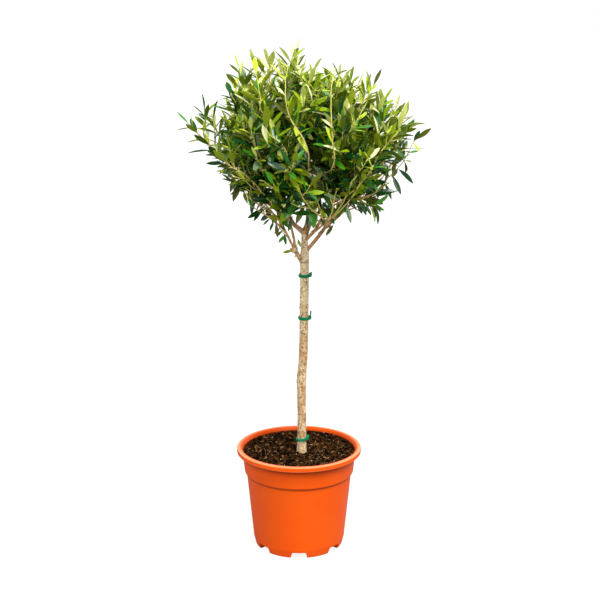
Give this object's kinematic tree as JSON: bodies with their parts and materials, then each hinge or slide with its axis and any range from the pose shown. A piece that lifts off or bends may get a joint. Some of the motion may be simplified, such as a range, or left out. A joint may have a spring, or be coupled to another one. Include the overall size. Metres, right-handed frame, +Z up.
{
  "type": "standard olive tree in a nursery pot",
  "caption": "Young olive grown as a standard: a slim clear trunk with a loose, round, leafy crown, in a tapered plastic nursery pot filled with potting soil.",
  "frame": {"origin": "middle of the pot's underside, on the surface that it stands on", "axes": "+Z up along the trunk, +Y from the front of the plant to its back, +X to its right as seen from the front"},
  "size_m": [0.3948, 0.361, 0.8365],
  "materials": {
    "pot_plastic": "satin orange injection-moulded plastic",
    "soil": "dark brown moist potting soil with bark chips",
    "bark": "pale beige-brown smooth young bark with small knots",
    "tie_plastic": "glossy green soft plastic tube",
    "foliage": "leathery green olive leaves on thin twigs, paler towards the tips"
  },
  "bodies": {
    "root": {"bough_centre": "bark", "bough_left": "bark", "bough_left_back": "bark", "bough_left_inner": "bark", "bough_left_outer": "bark", "bough_low_back": "bark", "bough_low_front": "bark", "bough_low_left": "bark", "bough_right": "bark", "bough_right_back": "bark", "bough_right_front": "bark", "bough_right_low": "bark", "bough_top_back": "bark", "bough_top_left": "bark", "bough_top_right": "bark", "foliage_left": "foliage", "foliage_left_back": "foliage", "foliage_left_front": "foliage", "foliage_low_back": "foliage", "foliage_low_front": "foliage", "foliage_low_left": "foliage", "foliage_right": "foliage", "foliage_right_back": "foliage", "foliage_right_front": "foliage", "foliage_right_low": "foliage", "foliage_top_back": "foliage", "foliage_top_left": "foliage", "foliage_top_middle": "foliage", "foliage_top_right": "foliage", "pot": "pot_plastic", "potting_soil": "soil", "tie_lower": "tie_plastic", "tie_middle": "tie_plastic", "tie_upper": "tie_plastic", "trunk": "bark"}
  },
  "joints": []
}
